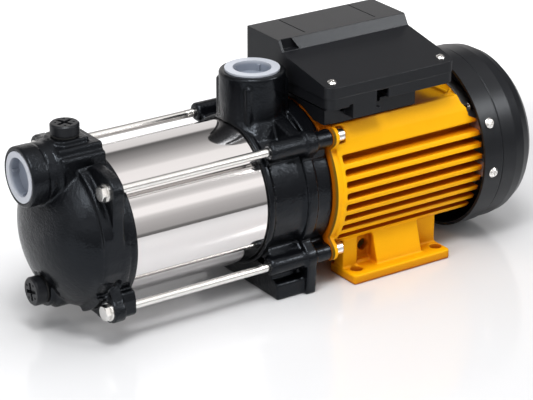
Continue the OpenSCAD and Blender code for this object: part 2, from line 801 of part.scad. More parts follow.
module shaft_key() color(steel)
    block([x_stack0 + impeller_in + 1.2, -key_w / 2 + 0.05, shaft_h + pump_shaft_r - 2.45],
          [x_sleeve_end - 1.2, key_w / 2 - 0.05, shaft_h + pump_shaft_r + key_rise]);

// Shaft seal
module seal_seat() color("#e8e4da")
    ring_x(x_wall, x_wall + seat_ring_t, seat_ring_r, pump_shaft_r + 1.2);

module seal_face() color("#3a3a3d") {
    ring_x(x_wall - 2.5, x_wall - 0.02, 10.6, pump_shaft_r + seat_gap);
    ring_x(x_wall - seal_face_t, x_wall - 2.5, 11.6, pump_shaft_r + seat_gap);
}

// Sleeve behind the last impeller with the seal's coil spring round it
module seal_spring() color(steel) {
    turns = 3;
    wire = 1.2;
    coil_r = 9.6;
    last_hub = stage_x(STAGES) + hub_end;
    ring_x(last_hub, x_sleeve_end, hub_r, pump_shaft_r + 0.6 + key_rise + seat_gap);
    on_shaft(x_sleeve_end) ring_base(coil_r, wire);
    lead = (seal_spring_len - 2 * wire) / (turns - 0.5);
    span = 360 * 2 * wire / lead;
    on_shaft(x_sleeve_end + wire * 0.5) linear_extrude(seal_spring_len - wire,
        twist = -360 * (seal_spring_len - wire) / lead,
        slices = 36, segments = 12, convexity = 8) wire_section(coil_r, wire, span);
    on_shaft(x_wall - seal_face_t - wire) ring_base(coil_r, wire);
}

// Section of a round wire cut square to the coil's axis
module wire_section(r, wire, span) {
    n = 6;
    function w(k) = wire * sqrt(max(0, 1 - pow(2 * k / n - 1, 2)));
    polygon([for (k = [0 : n]) (r + w(k)) * [cos(span * (k / n - 0.5)), sin(span * (k / n - 0.5))],
             for (k = [n - 1 : -1 : 1])
                 (r - w(k)) * [cos(span * (k / n - 0.5)), sin(span * (k / n - 0.5))]]);
}

module ring_base(r, wire) {
    difference() {
        cylinder(h = wire, r = r + wire);
        translate([0, 0, -1]) cylinder(h = wire + 2, r = r - wire);
    }
}

// Ball bearings
module race_groove(x) {
    on_shaft(x + bearing_w / 2) rotate_extrude() translate([ball_pitch_r, 0])
        circle(ball_r + 0.12, $fn = 32);
}

module bearing_outer(x) color(steel) difference() {
    ring_x(x, x + bearing_w, bearing_r, ball_pitch_r + 2.2);
    race_groove(x);
}

module bearing_inner(x) color(steel) difference() {
    ring_x(x, x + bearing_w, ball_pitch_r - 2.2, bearing_bore_r + seat_gap / 2);
    race_groove(x);
}

module bearing_balls(x) color(bright) {
    for (k = [0 : ball_count - 1])
        on_shaft(x + bearing_w / 2) rotate(k * 360 / ball_count) translate([ball_pitch_r, 0, 0])
            sphere(ball_r, $fn = 24);
    ring_x(x + bearing_w / 2 - 1.6, x + bearing_w / 2 + 1.6, ball_pitch_r + 0.6, ball_pitch_r - 0.6);
}

module front_bearing_outer() { bearing_outer(front_bearing_x); }

module front_bearing_inner() { bearing_inner(front_bearing_x); }

module front_bearing_balls() { bearing_balls(front_bearing_x); }

module rear_bearing_outer() { bearing_outer(rear_bearing_x); }

module rear_bearing_inner() { bearing_inner(rear_bearing_x); }

module rear_bearing_balls() { bearing_balls(rear_bearing_x); }

// Motor core and windings
module rotor_core() color("#8b8d92")
    ring_x(core_x0, core_x1, rotor_r, bearing_bore_r + 3 + seat_gap / 2);

module stator_core() color("#77797f")
    ring_x(core_x0, core_x1, stator_r, rotor_r + spin_gap);

module end_winding(x, s) {
    ri = rotor_r + 3;
    ro = stator_r - 4;
    w = s * winding_len;
    revolve_x([
        [ri, x], [ro, x], [ro, x + w * 0.6], [ro - 2, x + w * 0.9], [ro - 5, x + w],
        [ri + 5, x + w], [ri + 2, x + w * 0.9], [ri, x + w * 0.6]
    ]);
}

module windings() color("#b5651d") {
    end_winding(core_x0, -1);
    end_winding(core_x1, 1);
}

// Motor frame
module flange_outline() {
    circle(flange_r);
    for (p = tie_places) translate(p) circle(ear_d / 2);
    tie_webs(ear_d);
}

module fin_section(h, root_t) {
    for (s = [-1, 1])
        polygon([[s * 30, h + root_t / 2], [s * (fin_r + 2), h + fin_t / 2],
                 [s * (fin_r + 2), h - fin_t / 2], [s * 30, h - root_t / 2]]);
}

module fins() {
    intersection() {
        rod_x(x_land, frame_rear, fin_r);
        union() {
            for (k = [0 : fin_count - 1])
                yz(x_land + 1, frame_rear) fin_section(fin_top - k * fin_pitch, fin_t + 1.2);
            yz(x_land + 1, x_fins) square([fin_d, fin_d], center = true);
        }
    }
}

// Shoulders that rise from the top fin to the terminal deck, with a slanted fan end
module deck_shell() {
    low = fin_top + 8;
    side = sqrt(fin_r * fin_r - low * low);
    top = deck_w / 2;
    wall = 4;
    difference() {
        yz(x_land, frame_rear) polygon([
            [-top, deck_rise], [-top - 5, deck_rise - 11.5], [-side, low], [-side + 10, low - 3.5],
            [side - 10, low - 3.5], [side, low], [top + 5, deck_rise - 11.5], [top, deck_rise]
        ]);
        yz(x_fins + 2, frame_rear + 1) difference() {
            polygon([
                [-top + wall, deck_rise - wall], [-top - 1.5, deck_rise - 12], [-side + 4, low + 1],
                [side - 4, low + 1], [top + 1.5, deck_rise - 12], [top - wall, deck_rise - wall]
            ]);
            circle(frame_r);
        }
        translate([0, fin_r + 10, shaft_h]) rotate([90, 0, 0]) linear_extrude(2 * fin_r + 20) polygon([
            [frame_rear - 14.3, deck_rise + 1], [frame_rear - 12, deck_rise - 6],
                [frame_rear - 8.5, deck_rise - 10],
            [frame_rear - 7, low + 5], [frame_rear + 1, low + 1], [frame_rear + 1, deck_rise + 1]
        ]);
    }
}

// Upright tab at the deck's fan end
module deck_tab() {
    translate([46, -deck_w / 2 + 5, deck_z - 1]) rotate([90, 0, 0]) linear_extrude(1.6)
        polygon([[0, 0], [7.5, 0], [7.5, 5.8], [5.6, 5.8], [3.4, 2.4], [0, 1.6]]);
}

module foot_side(s) {
    near = foot_w / 2;
    inner = near - 32;
    mirror([0, s < 0 ? 1 : 0, 0]) {
        translate([(foot_x0 + foot_x1) / 2, (near + inner) / 2, 0])
            linear_extrude(foot_t) round_rect(foot_len, near - inner, 3);
        block([foot_x0 + 1, leg_y - leg_t, 0], [foot_x1 - 1, leg_y, shaft_h - 34]);
        yz(-19.5, 21.5) polygon([
            [leg_y - 2, -shaft_h + foot_t - 1], [near - 8, -shaft_h + foot_t - 1],
                [near - 8, -shaft_h + foot_t],
            [near - 15, -fin_r + 20], [leg_y - 2, -fin_r + 24]
        ]);
        yz(foot_x0 + 1, foot_x0 + 14) polygon([
            [leg_y - 2, -shaft_h + foot_t - 1], [near - 16, -shaft_h + foot_t - 1],
                [leg_y + 2, -fin_r + 24],
            [leg_y - 2, -fin_r + 24]
        ]);
    }
}

module foot_cuts(s) {
    mirror([0, s < 0 ? 1 : 0, 0]) {
        for (x = [-1, 1])
            translate([x * foot_pitch_x / 2, foot_pitch_y / 2, -1])
                cylinder(h = foot_t + 2, r = foot_hole_r);
        block([foot_x0 + 14, leg_y - 3.5, foot_t + 2], [-18.5, leg_y + 1, shaft_h - 43]);
        translate([-23.2, leg_y + 1, foot_t + 12]) rotate([90, 0, 0]) cylinder(h = leg_t + 4, r = 4.4);
        block([foot_x1 - 18, leg_y - 1.5, foot_t + 0.5], [foot_x1 - 14.5, leg_y + 1, foot_t + 4]);
    }
}

module motor_frame() color(yellow) difference() {
    union() {
        rod_x(x_flange, frame_rear, frame_r);
        yz(x_flange, x_land) flange_outline();
        fins();
        deck_shell();
        deck_tab();
        for (s = [-1, 1]) foot_side(s);
    }
    block([ped_x1 + 1, -deck_w / 2 + 6, deck_z - 2.6], [frame_rear - 17, deck_w / 2 - 6, deck_z + 1]);
    for (s = [-1, 1]) foot_cuts(s);
    rod_x(x_flange - 1, frame_rear + 1, bore_r);
    for (p = tie_places) {
        rod_x(x_flange - 1, x_land + 1, tie_d / 2 + 0.3, p[0], p[1]);
        rod_x(x_land, x_land + screw_head_h + 2.5, screw_head_r + 1.1, p[0], p[1]);
    }
    translate([-30, 0, shaft_h + frame_r - 8]) cylinder(h = 30, r = 9);
    for (a = [45 : 90 : 315])
        rod_x(frame_rear - 12, frame_rear + 1, 1.8, shield_screw_y(a), shield_screw_z(a));
    for (p = base_screw_places)
        translate([p[0], p[1], deck_z - 4.9]) cylinder(h = 6, r = 1.7);
}

module flange_screws() color(bright)
    for (p = tie_places) difference() {
        union() {
            rod_x(x_land, x_land + screw_head_h, screw_head_r, p[0], p[1]);
            rod_x(x_plate1 - 4, x_land + 1, tie_d / 2, p[0], p[1]);
        }
        translate([x_land + 3, p[0], shaft_h + p[1]]) rotate([0, 90, 0]) hex_head(5, 5);
    }

// Rear shield
function shield_screw_y(a) = (frame_r - 2) * cos(a);
function shield_screw_z(a) = (frame_r - 2) * sin(a);

module rear_shield() color("#b3b5b8") difference() {
    union() {
        rod_x(frame_rear, x_shield1, frame_r);
        ring_x(frame_rear - spigot_len, frame_rear + 1, spigot_r, spigot_r - 5);
        rod_x(rear_bearing_x, x_shield1 + 2, bearing_r + 5.5);
        for (a = cover_screw_angles) rotate_on_shaft(a)
            block([frame_rear, -6, frame_r - 4], [x_shield1, 6, cover_r - cover_wall - drop_gap - 0.4]);
    }
    difference() {
        rod_x(frame_rear - spigot_len - 1, frame_rear + 4, spigot_r - 5);
        rod_x(frame_rear - spigot_len - 2, frame_rear + 5, bearing_r + 5.5);
    }
    rod_x(rear_bearing_x - 1, rear_bearing_x + bearing_w + 0.6, bearing_r + seat_gap);
    rod_x(rear_bearing_x, x_shield1 + 5, bearing_bore_r + 1.5);
    for (a = [45 : 90 : 315]) {
        rod_x(frame_rear - 1, x_shield1 + 1, 2.2, shield_screw_y(a), shield_screw_z(a));
        rod_x(x_shield1 - 3, x_shield1 + 1, 4, shield_screw_y(a), shield_screw_z(a));
    }
    for (a = cover_screw_angles) rotate_on_shaft(a)
        translate([cover_screw_x, 0, cover_r - cover_screw_len - 1])
            cylinder(h = cover_screw_len + 2, r = 2 + seat_gap);
}

// Turns children about the shaft so that local z points at angle a from +Y towards +Z
module rotate_on_shaft(a) {
    translate([0, 0, shaft_h]) rotate([a - 90, 0, 0]) children();
}

module shield_screws() color(steel)
    for (a = [45 : 90 : 315]) {
        rod_x(frame_rear - 10, x_shield1 - 2.5, 1.75, shield_screw_y(a), shield_screw_z(a));
        rod_x(x_shield1 - 3, x_shield1 - 0.4, 3.5, shield_screw_y(a), shield_screw_z(a));
    }

module wave_spring() color(steel)
    ring_x(rear_bearing_x + bearing_w + 0.05, rear_bearing_x + bearing_w + 0.55, bearing_r - 0.3,
        bearing_r - 4);

// Cooling fan and its cover
module cooling_fan() color("#3c3c40") difference() {
    union() {
        rod_x(fan_x0, fan_x0 + fan_blade_len, fan_hub_r);
        rod_x(fan_x0, fan_x0 + fan_disc_t, fan_d / 2 - fan_disc_short);
        for (k = [0 : 8]) translate([fan_x0, 0, shaft_h]) rotate([k * 40, 0, 0])
            block([1, -1, fan_hub_r - 2], [fan_blade_len - 1, 1, fan_d / 2]);
    }
    difference() {
        rod_x(fan_x0 - 1, fan_x0 + fan_blade_len + 1, fan_shaft_r + seat_gap);
        block([fan_x0 - 2, -7, shaft_h + fan_shaft_r - 1.5 + seat_gap], [x_shaft_end + 2, 7, shaft_h + 9]);
    }
}

module fan_clip() color(steel) {
    x = fan_x0 - 1;
    ring_x(x - 1, x - 0.2, bearing_bore_r + 2.5, bearing_bore_r + seat_gap);
}

module grille_cuts() {
    grille_deep = 8;
    for (ring = [[12, 22, 10], [25, 35, 18], [38, 48, 26]])
        for (k = [0 : ring[2] - 1])
            translate([x_cover1 - grille_deep, 0, shaft_h]) rotate([(k + 0.5) * 360 / ring[2], 0, 0])
                block([0, -1.9, ring[0]], [grille_deep + 1, 1.9, ring[1]]);
}

module fan_cover() color(plastic_black) difference() {
    r = cover_r - body_step;
    t = shoulder_turn;
    w = cover_wall;
    arc = [for (i = [0 : 5]) [r - t + t * cos(i * 18), x_cover1 - t + t * sin(i * 18)]];
    inner = [for (i = [5 : -1 : 0]) [r - t + (t - w) * cos(i * 18), x_cover1 - t + (t - w) * sin(i * 18)]];
    revolve_x(concat(
        [[cover_r - w, x_cover0], [cover_r, x_cover0], [cover_r, x_cover0 + band_len - 0.6],
            [r - 0.5, x_cover0 + band_len],
         [r - 0.5, x_cover0 + band_len + 0.7], [r, x_cover0 + band_len + 1.2]],
        arc, [[0, x_cover1], [0, x_cover1 - w]], inner, [[cover_r - w, x_cover0 + band_len + 2]]
    ));
    grille_cuts();
    for (a = cover_screw_angles) rotate_on_shaft(a)
        translate([cover_screw_x, 0, cover_r - cover_screw_len]) cylinder(h = 2 * cover_screw_len, r = 2.3);
}

module fan_cover_screws() color(bright)
    for (a = cover_screw_angles) rotate_on_shaft(a) {
        translate([cover_screw_x, 0, cover_r - cover_screw_len]) cylinder(h = cover_screw_len + 0.5, r = 2);
        translate([cover_screw_x, 0, cover_r + 0.02]) difference() {
            rotate_extrude() polygon([[0, 0], [4, 0], [4, 0.9], [2.6, 2.2], [0, 2.4]]);
            for (q = [0, 90]) rotate(q) translate([0, 0, 2.4]) cube([3.6, 0.9, 2], center = true);
        }
    }

// Terminal box
ped_x0 = box_x0 + 4.5;
ped_x1 = box_x0 + 85;
ped_y = deck_w / 2 - 1.5;
arch_z = shaft_h + fin_r + 3;
cap_y = box_far - box_wall - cap_body_r - 3;
screw_to_cap = 7;
screw_land = 5;
base_screw_x = [x_fins + 9, ped_x1 - 13];
base_screw_y = [-ped_y + 13.5, cap_y - cap_body_r - screw_to_cap];
base_screw_places = [for (x = base_screw_x, y = base_screw_y) [x, y]];
block_l = 38;
block_w = 20;
block_h = 14;
block_y = -ped_y + 9.5;
block_pitch = 6.4;
cap_z = box_z0 + box_wall + cap_body_r + 0.02;

module terminal_gasket() color(rubber) difference() {
    block([x_fins + 0.5, -ped_y, deck_z], [ped_x1, ped_y, deck_z + gasket_t]);
    block([base_screw_x[0] + screw_land, -ped_y + 6, deck_z - 1],
        [base_screw_x[1] - screw_land, base_screw_y[1] - screw_land, deck_z + gasket_t + 1]);
    for (p = base_screw_places) translate([p[0], p[1], deck_z - 1]) cylinder(h = 4, r = 2.4);
}

// Upright block on the terminal box's plan, drawn in by inset, with round corners
module box_plan(inset, z0, z1) {
    translate([(box_x0 + box_x1) / 2, (box_far - box_near) / 2, z0]) linear_extrude(z1 - z0)
        round_rect(box_len - 2 * inset, box_near + box_far, box_turn);
}

module base_body() {
    inner = box_wall;
    difference() {
        union() {
            box_plan(0.8, box_z0, seam_z);
            block([ped_x0, -ped_y - 2, base_z0], [ped_x1, ped_y, box_z0 - 3.2]);
            block([ped_x0 + 5, -ped_y + 4, base_z0], [ped_x1 - 5, ped_y - 3, box_z0 + 1]);
            block([box_x0 + 22, -box_near, base_z0 + 5], [box_x0 + 46, -ped_y, box_z0 + 1]);
            block([gland_x - 12, ped_y - 2, base_z0 + 4], [gland_x + 12, box_far, box_z0 + 1]);
            for (x = [box_x0 + 26, box_x0 + 70])
                block([x, cap_y - cap_body_r, box_z0], [x + 2, cap_y + cap_body_r, box_z0 + 8]);
        }
        difference() {
            block([box_x0 + 0.8 + inner, -box_near + inner, box_z0 + inner],
                  [box_x1 - 0.8 - inner, box_far - inner, seam_z + 1]);
            for (x = [box_x0 + 26, box_x0 + 70]) difference() {
                block([x, cap_y - cap_body_r, box_z0], [x + 2, cap_y + cap_body_r, box_z0 + 8]);
                translate([x - 1, cap_y, cap_z]) rotate([0, 90, 0])
                    cylinder(h = 4, r = cap_body_r + drop_gap);
            }
        }
        block([ped_x0 + 5 + inner, -ped_y + 7, arch_z],
            [ped_x1 - 5 - inner, cap_y - cap_body_r - 1, box_z0 + inner + 1]);
        block([x_fins + 3, -ped_y + 7, base_z0 + inner],
            [ped_x1 - 5 - inner, cap_y - cap_body_r - 1, arch_z + 1]);
        block([gland_x - 9.5, ped_y + 0.5, base_z0 + 6.5],
            [gland_x + 9.5, box_far - inner, box_z0 + inner + 1]);
        rod_x(box_x0 - 1, x_fins + 0.5, fin_r + 0.8);
        block([box_x0 + 18.5, -box_near - 1, box_z0 - 6.5], [box_x0 + 22, -ped_y + 3, box_z0 + 1.5]);
        block([box_x0 + 42.5, -box_near - 1, box_z0 - 5.5], [box_x0 + 53, -ped_y + 1, seam_z - 0.8]);
    }
}

module terminal_box_base() color(plastic_black) difference() {
    union() {
        base_body();
        for (x = [box_x0 + lid_screw_inset, box_x1 - lid_screw_inset])
            translate([x, -box_near + lid_screw_edge, box_z0]) cylinder(h = seam_z - box_z0, r = 4);
    }
    for (x = [box_x0 + lid_screw_inset, box_x1 - lid_screw_inset])
        translate([x, -box_near + lid_screw_edge, box_z0 + 2]) cylinder(h = 20, r = 1.6);
    for (p = base_screw_places) translate([p[0], p[1], base_z0 - 1]) cylinder(h = 8, r = 2.2);
    translate([-30, 0, base_z0 - 1]) cylinder(h = 6, r = 9);
    translate([gland_x, 0, gland_z]) rotate([-90, 0, 0]) cylinder(h = box_far + 1, r = gland_r + drop_gap);
}

module base_screws() color(steel)
    for (p = base_screw_places) translate([p[0], p[1], 0]) {
        translate([0, 0, deck_z - 4.6]) cylinder(h = gasket_t + box_wall + 5.1, r = 1.65);
        translate([0, 0, base_z0 + box_wall]) cylinder(h = 2, r = 3.6);
    }

// Lid outline in y and z: flat slope on the near side, capacitor hood on the far side
module lid_outline(inset) {
    i = inset;
    turn = 5 - i * 0.6;
    hood_top = hood_z + hood_h;
    difference() {
        polygon(concat(
            [[-box_near + i, seam_z - (i > 0 ? 1 : 0)], [-box_near + i, lid_z - i],
             [hood_y + (i > 0 ? 7 : 0), hood_z - i * 1.1],
                 [hood_y + hood_run + (i > 0 ? 5 : 0), hood_top - i]],
            [for (k = [0 : 4])
                [box_far - i - turn + turn * sin(k * 22.5),
                 hood_top + hood_crown - i - turn + turn * cos(k * 22.5)]],
            [[box_far - i, seam_z - (i > 0 ? 1 : 0)]]
        ));
    }
}

module terminal_box_lid() color(plastic_black) difference() {
    union() {
        intersection() {
            translate([box_x0, 0, 0]) rotate([90, 0, 90]) linear_extrude(box_len) lid_outline(0);
            box_plan(0, seam_z - 1, hood_z + hood_h + 5);
        }
        for (x = [box_x0 + 30, box_x1 - 30])
            block([x - 5, box_far - box_wall - 2.1, seam_z - 4],
                [x + 5, box_far - box_wall - 0.1, seam_z + 2]);
    }
    difference() {
        translate([box_x0 + box_wall, 0, 0]) rotate([90, 0, 90]) linear_extrude(box_len - 2 * box_wall)
            lid_outline(box_wall);
        for (x = [box_x0 + lid_screw_inset, box_x1 - lid_screw_inset])
            translate([x, -box_near + lid_screw_edge, seam_z]) cylinder(h = 30, r = 4);
        for (x = [box_x0 + 30, box_x1 - 30])
            block([x - 5, box_far - box_wall - 2.1, seam_z - 4], [x + 5, box_far - box_wall, seam_z + 2]);
    }
    translate([box_x0, hood_y + hood_run + 0.5, hood_z + 0.4]) rotate([90, 0, 0])
        linear_extrude(hood_run + 1.5)
        polygon([[2.5, 0], [15.5, 0], [9.5, hood_h + 3], [2.5, hood_h + 3]]);
    for (x = [box_x0 + 26, box_x0 + 89])
        translate([x, hood_y + hood_run + 4, hood_z + hood_h - 0.5]) rotate([0.3, 0, 0])
            cube([0.9, box_far - hood_y - 14, 3]);
    for (x = [box_x0 + lid_screw_inset, box_x1 - lid_screw_inset])
        translate([x, -box_near + lid_screw_edge, seam_z - 1]) cylinder(h = 30, r = 2);
}

// Slope angle of the lid's near face
lid_tilt = atan2(lid_slope, hood_y + box_near);

module lid_screws() color(bright)
    for (x = [box_x0 + lid_screw_inset, box_x1 - lid_screw_inset])
        translate([x, -box_near + lid_screw_edge, 0]) {
            translate([0, 0, seam_z - 5]) cylinder(h = lid_z - seam_z + 6.8, r = 1.55);
            translate([0, 0, lid_z + lid_screw_edge * tan(lid_tilt)]) rotate([lid_tilt, 0, 0]) difference() {
                rotate_extrude() polygon([[0, 0.02], [3.4, 0.02], [3.4, 0.8], [2.2, 1.8], [0, 2]]);
                for (q = [30, 120]) rotate(q) translate([0, 0, 2]) cube([3.2, 0.8, 2], center = true);
            }
        }

module capacitor() color("#55585c") {
    translate([box_x0 + 12, cap_y, cap_z]) rotate([0, 90, 0]) {
        rotate_extrude() polygon([
            [0, 0], [cap_body_r - 1, 0], [cap_body_r, 1], [cap_body_r, cap_body_len - 1],
            [cap_body_r - 1, cap_body_len], [0, cap_body_len]
        ]);
        for (s = [-1, 1]) translate([-tab_t / 2, (s * tab_gap - tab_w) / 2, cap_body_len - 1])
            cube([tab_t, tab_w, tab_len]);
    }
}

module terminal_block() color("#d9d4c6") {
    z = base_z0 + box_wall;
    x = x_fins + 15;
    difference() {
        block([x, block_y, z], [x + block_l, block_y + block_w, z + block_h]);
        for (k = [0 : 5]) translate([x + 3 + k * block_pitch, block_y - 1, z + block_h / 2])
            block([-2.2, 0, 0], [2.2, block_w + 2, block_h]);
    }
    for (k = [0 : 5], y = [block_y + 5, block_y + block_w - 5])
        translate([x + 3 + k * block_pitch, y, z + block_h / 2 - 0.5]) cylinder(h = 4, r = 2);
}

// Cable gland in the far wall, left without a cable
module gland_axis(y) { translate([gland_x, y, gland_z]) rotate([-90, 0, 0]) children(); }

module cable_gland() color(plastic_black) difference() {
    union() {
        gland_axis(box_far - 8) cylinder(h = 9, r = gland_r);
        gland_axis(box_far + 0.02) hex_head(20, 5);
        gland_axis(box_far + 4) cylinder(h = 9, r = 7.4);
    }
    gland_axis(box_far - 10) cylinder(h = 30, r = 5.2);
    gland_axis(box_far + 5) cylinder(h = 30, r = 6.4);
}

module gland_nut() color(plastic_black) difference() {
    union() {
        gland_axis(box_far + 5.1) hex_head(19, 8);
        gland_axis(box_far + 13) cylinder(h = 4, r1 = 8.8, r2 = 7.4);
    }
    gland_axis(box_far + 5) cylinder(h = 8.3, r = 7.4 + seat_gap);
    gland_axis(box_far + 4) cylinder(h = 20, r = 5.2);
}

module gland_seal() color(rubber) difference() {
    gland_axis(box_far + 5.1) cylinder(h = 8, r = 6.4 - seat_gap);
    gland_axis(box_far) cylinder(h = 20, r = 4);
}

suction_casing();
suction_port_cap();
priming_plug();
priming_plug_seal();
drain_plug();
drain_plug_seal();
pump_barrel();
barrel_gasket_front();
barrel_gasket_rear();
tie_bolts();
tie_bolt_washers();
discharge_casing();
discharge_port_cap();
for (i = [1 : STAGES]) {
    stage_bowl(i);
    diffuser(i);
    impeller(i);
}
impeller_spacers();
impeller_nut();
shaft();
shaft_key();
seal_seat();
seal_face();
seal_spring();
front_bearing_outer();
front_bearing_inner();
front_bearing_balls();
rear_bearing_outer();
rear_bearing_inner();
rear_bearing_balls();
rotor_core();
stator_core();
windings();
motor_frame();
flange_screws();
rear_shield();
shield_screws();
wave_spring();
cooling_fan();
fan_clip();
fan_cover();
fan_cover_screws();
terminal_gasket();
terminal_box_base();
base_screws();
terminal_box_lid();
lid_screws();
capacitor();
terminal_block();
cable_gland();
gland_nut();
gland_seal();
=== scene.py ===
"""The look of a horizontal multistage booster pump: its finishes, its cast detail and the studio."""
import json
import math

import bmesh
import bpy
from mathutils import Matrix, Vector


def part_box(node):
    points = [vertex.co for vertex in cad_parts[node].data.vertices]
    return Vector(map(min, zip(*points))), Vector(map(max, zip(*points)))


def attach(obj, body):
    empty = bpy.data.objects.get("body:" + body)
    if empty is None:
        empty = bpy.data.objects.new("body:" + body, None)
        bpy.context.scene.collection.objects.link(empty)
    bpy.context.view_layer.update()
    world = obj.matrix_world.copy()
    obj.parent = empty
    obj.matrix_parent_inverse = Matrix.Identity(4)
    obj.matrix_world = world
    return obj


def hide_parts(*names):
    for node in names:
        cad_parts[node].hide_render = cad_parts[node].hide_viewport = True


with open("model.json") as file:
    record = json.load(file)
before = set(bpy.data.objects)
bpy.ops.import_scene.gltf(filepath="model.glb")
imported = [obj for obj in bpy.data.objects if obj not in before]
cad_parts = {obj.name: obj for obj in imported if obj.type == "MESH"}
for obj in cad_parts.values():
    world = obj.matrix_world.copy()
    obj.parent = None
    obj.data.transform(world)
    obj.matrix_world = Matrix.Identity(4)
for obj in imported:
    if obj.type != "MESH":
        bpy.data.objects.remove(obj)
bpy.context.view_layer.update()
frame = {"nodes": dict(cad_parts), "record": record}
NODES = frame["nodes"]
SLOT_OF = {part["node"]: part["material_slot"] for part in frame["record"]["subparts"]}

# Camera: its place, the point it looks at and its lens, in metres and millimetres
CAMERA_AT = (-0.9485, -1.2813, 0.7067)
CAMERA_LOOKS_AT = (-0.08334, -0.00086, 0.05536)
CAMERA_LENS = 155.1
CAMERA_SENSOR = 36.0

MM = 0.001

# Studio: its strength as gloss mirrors it and as it lights the pump, the warmth of what gloss mirrors,
# the table's corners and near edge in metres, and the gap that keeps the feet clear of the table
GLOSS_LIGHT = 1.35
SOFT_LIGHT = 0.28
WARMTH = (1.0, 0.975, 0.965)
TABLE_CORNERS = [(-5, -2.2, 0), (5, -2.2, 0), (5, 6, 0), (-5, 6, 0)]
TABLE_EDGE = 0.42
TABLE_GAP = 0.4 * MM

# Heights of the shaft and the drain plug, and where the painted shade on the front edge of the motor's flange
# ends
SHAFT_H = 71 * MM
DRAIN_H = sum(corner[2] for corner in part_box("drain_plug")) / 2
FLANGE_EDGE_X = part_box("motor_frame")[0][0] + 2 * MM

# Smooth part of the suction dome: its rear end, its radius, its top below the neck, how far it keeps from the
# drain, and how often it is smoothed
DOME_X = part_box("barrel_gasket_front")[0][0] - 6 * MM
DOME_RADIUS = 47 * MM
DOME_TOP = SHAFT_H + 24 * MM
DRAIN_CLEAR = 19 * MM
DOME_ROUNDS = 60

# Tie bolts: how far they lie aside of the shaft and above or below it, and their radius. Their thread shows
# in front of the discharge bosses and ends inside them
TIE_ASIDE = 48 * MM
TIE_RISE = 44 * MM
TIE_RADIUS = 3 * MM
THREAD_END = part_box("pump_barrel")[1][0] - 5 * MM
THREAD_START = THREAD_END - 5.7 * MM
THREAD_PITCH = 1.0 * MM
THREAD_CREST = TIE_RADIUS + 0.24 * MM
THREAD_ROOT = TIE_RADIUS - 0.05 * MM


class Signal:
    """A value or colour inside a finish, so that shader maths reads as an expression."""

    def __init__(self, finish, socket):
        self.finish = finish
        self.socket = socket

    def math(self, operation, *others):
        return self.finish.node("ShaderNodeMath", {"operation": operation}, [self, *others]).out("Value")

    def __add__(self, other):
        return self.math("ADD", other)

    def __radd__(self, other):
        return self.math("ADD", other)

    def __sub__(self, other):
        return self.math("SUBTRACT", other)

    def __rsub__(self, other):
        return (self * -1.0).math("ADD", other)

    def __mul__(self, other):
        return self.math("MULTIPLY", other)

    def between(self, low, high):
        """0 below low and 1 above high, with a smooth turn between."""
        made = self.finish.node("ShaderNodeMapRange", {"interpolation_type": "SMOOTHSTEP"},
                                {"Value": self, "From Min": low, "From Max": high})
        return made.out("Result")


class Made:
    """A node that was added to a finish."""

    def __init__(self, finish, node):
        self.finish = finish
        self.node = node

    def out(self, name):
        return Signal(self.finish, self.node.outputs[name])


class Finish:
    """A procedural material for one of the pump's finishes, or for the studio round it."""

    def __init__(self, tree):
        self.tree = tree
        tree.nodes.clear()

    @classmethod
    def called(cls, name):
        material = bpy.data.materials.new(name)
        material.use_nodes = True
        finish = cls(material.node_tree)
        finish.material = material
        return finish

    def node(self, kind, settings=None, sockets=None):
        """Adds a node: its settings first, then the values or links of its sockets."""
        node = self.tree.nodes.new(kind)
        for key, value in (settings or {}).items():
            if key == "stops":
                self.set_stops(node.color_ramp, value)
            else:
                setattr(node, key, value)
        named = sockets if isinstance(sockets, dict) else dict(enumerate(sockets or []))
        for key, value in named.items():
            if isinstance(value, Signal):
                self.tree.links.new(value.socket, node.inputs[key])
            else:
                node.inputs[key].default_value = value
        return Made(self, node)

    @staticmethod
    def set_stops(ramp, stops):
        while len(ramp.elements) < len(stops):
            ramp.elements.new(1.0)
        for element, (place, colour) in zip(ramp.elements, stops):
            element.position = place
            element.color = (*colour, 1.0)

    def place(self):
        """Place on the object, in metres."""
        return self.node("ShaderNodeTexCoord").out("Object")

    def noise(self, size, detail=2.0, roughness=0.5, stretch=None):
        """Noise whose lumps are about size metres across; stretch makes them longer along an axis."""
        where = self.place()
        if stretch:
            where = self.node("ShaderNodeMapping", {"vector_type": "POINT"},
                              {"Vector": where, "Scale": stretch}).out("Vector")
        made = self.node("ShaderNodeTexNoise", {},
                         {"Vector": where, "Scale": 1.0 / size, "Detail": detail, "Roughness": roughness})
        return made.out("Fac")

    def mix(self, share, first, second):
        """Colour between two colours, by a share that may vary."""
        made = self.node("ShaderNodeMix", {"data_type": "RGBA"}, {0: share, 6: first, 7: second})
        return Signal(self, made.node.outputs[2])

    def painted_shade(self, reach):
        """Mask for painted shade: 1 deep in gaps and corners and 0 in the open, by how much within reach
        stands in the way.
        """
        free = self.node("ShaderNodeAmbientOcclusion", {"samples": 8}, {"Distance": reach}).out("AO")
        return 1.0 - free.between(0.25, 0.95)

    def relief(self, height, depth, under=None):
        """Normal of a surface with the given relief, whose full height is depth metres."""
        sockets = {"Height": height, "Distance": depth, "Strength": 1.0}
        if under is not None:
            sockets["Normal"] = under
        return self.node("ShaderNodeBump", {}, sockets).out("Normal")

    def soft_edges(self, radius):
        """Normal of the surface with its edges rounded."""
        return self.node("ShaderNodeBevel", {"samples": 4}, {"Radius": radius}).out("Normal")

    def surface(self, **sockets):
        """The finished material. Sockets go by their own names, with underscores for spaces."""
        named = {key.replace("_", " "): value for key, value in sockets.items()}
        shader = self.node("ShaderNodeBsdfPrincipled", {}, named)
        self.node("ShaderNodeOutputMaterial", {}, {"Surface": shader.out("BSDF")})
        return self.material


def rgb(r, g, b):
    return (r, g, b, 1.0)


# Finishes

